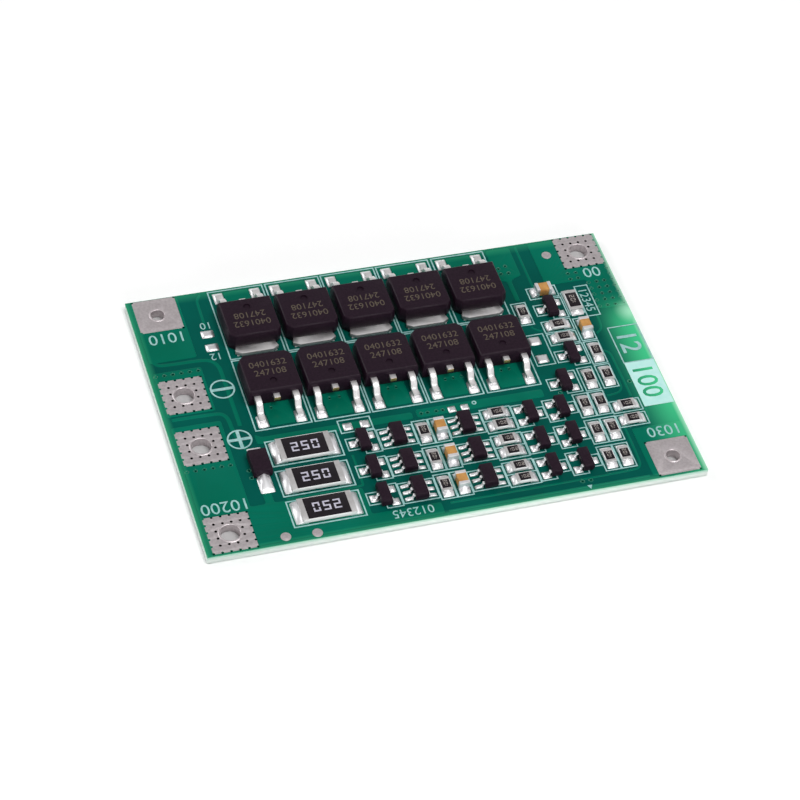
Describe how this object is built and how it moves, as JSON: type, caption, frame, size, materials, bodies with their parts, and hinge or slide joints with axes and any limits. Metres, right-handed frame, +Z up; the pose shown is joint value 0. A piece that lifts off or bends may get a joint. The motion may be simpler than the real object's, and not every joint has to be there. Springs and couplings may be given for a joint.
{
  "type": "battery management board",
  "caption": "Flat green circuit board with square plated wire terminals at its edges, two rows of tabbed power transistors and rows of small surface-mounted parts.",
  "frame": {"origin": "centre of the board's outline, on the plane of the lowest lands", "axes": "+X along the long edge, from the battery and output terminals towards the far end; +Y along the short edge, from the channels of small parts towards the power transistors; +Z up, out of the face that carries the parts"},
  "size_m": [0.06, 0.04, 0.0035],
  "materials": {
    "laminate": "glass fibre laminate under glossy green solder mask",
    "tinned_copper": "hot tinned copper, slightly uneven",
    "tinned_lead": "satin tin on a stamped copper strip",
    "mould_compound": "black moulding compound",
    "alumina": "bare white ceramic",
    "resistor_glaze": "black glaze",
    "capacitor_ceramic": "fired tan ceramic"
  },
  "bodies": {
    "root": {"circuit_board": "laminate", "lower_tap_terminal": "tinned_copper", "output_negative_terminal": "tinned_copper", "output_positive_terminal": "tinned_copper", "battery_positive_terminal": "tinned_copper", "battery_negative_terminal": "tinned_copper", "upper_tap_terminal": "tinned_copper", "power_body_1": "mould_compound", "power_frame_1": "tinned_lead", "power_body_2": "mould_compound", "power_frame_2": "tinned_lead", "power_body_3": "mould_compound", "power_frame_3": "tinned_lead", "power_body_4": "mould_compound", "power_frame_4": "tinned_lead", "power_body_5": "mould_compound", "power_frame_5": "tinned_lead", "power_body_6": "mould_compound", "power_frame_6": "tinned_lead", "power_body_7": "mould_compound", "power_frame_7": "tinned_lead", "power_body_8": "mould_compound", "power_frame_8": "tinned_lead", "power_body_9": "mould_compound", "power_frame_9": "tinned_lead", "power_body_10": "mould_compound", "power_frame_10": "tinned_lead", "balance_resistor_body_1": "alumina", "balance_resistor_ends_1": "tinned_lead", "balance_resistor_body_2": "alumina", "balance_resistor_ends_2": "tinned_lead", "balance_resistor_body_3": "alumina", "balance_resistor_ends_3": "tinned_lead", "balance_resistor_glaze": "resistor_glaze", "diode_body": "mould_compound", "diode_leads": "tinned_lead", "controller_body_1": "mould_compound", "controller_leads_1": "tinned_lead", "controller_body_2": "mould_compound", "controller_leads_2": "tinned_lead", "controller_body_3": "mould_compound", "controller_leads_3": "tinned_lead", "controller_body_4": "mould_compound", "controller_leads_4": "tinned_lead", "controller_body_5": "mould_compound", "controller_leads_5": "tinned_lead", "controller_body_6": "mould_compound", "controller_leads_6": "tinned_lead", "transistor_bodies": "mould_compound", "transistor_leads": "tinned_lead", "chip_resistor_bodies": "alumina", "chip_resistor_ends": "tinned_lead", "chip_resistor_glaze": "resistor_glaze", "capacitor_bodies": "capacitor_ceramic", "capacitor_ends": "tinned_lead", "solder_lands": "tinned_copper", "test_points": "tinned_copper"}
  },
  "joints": []
}
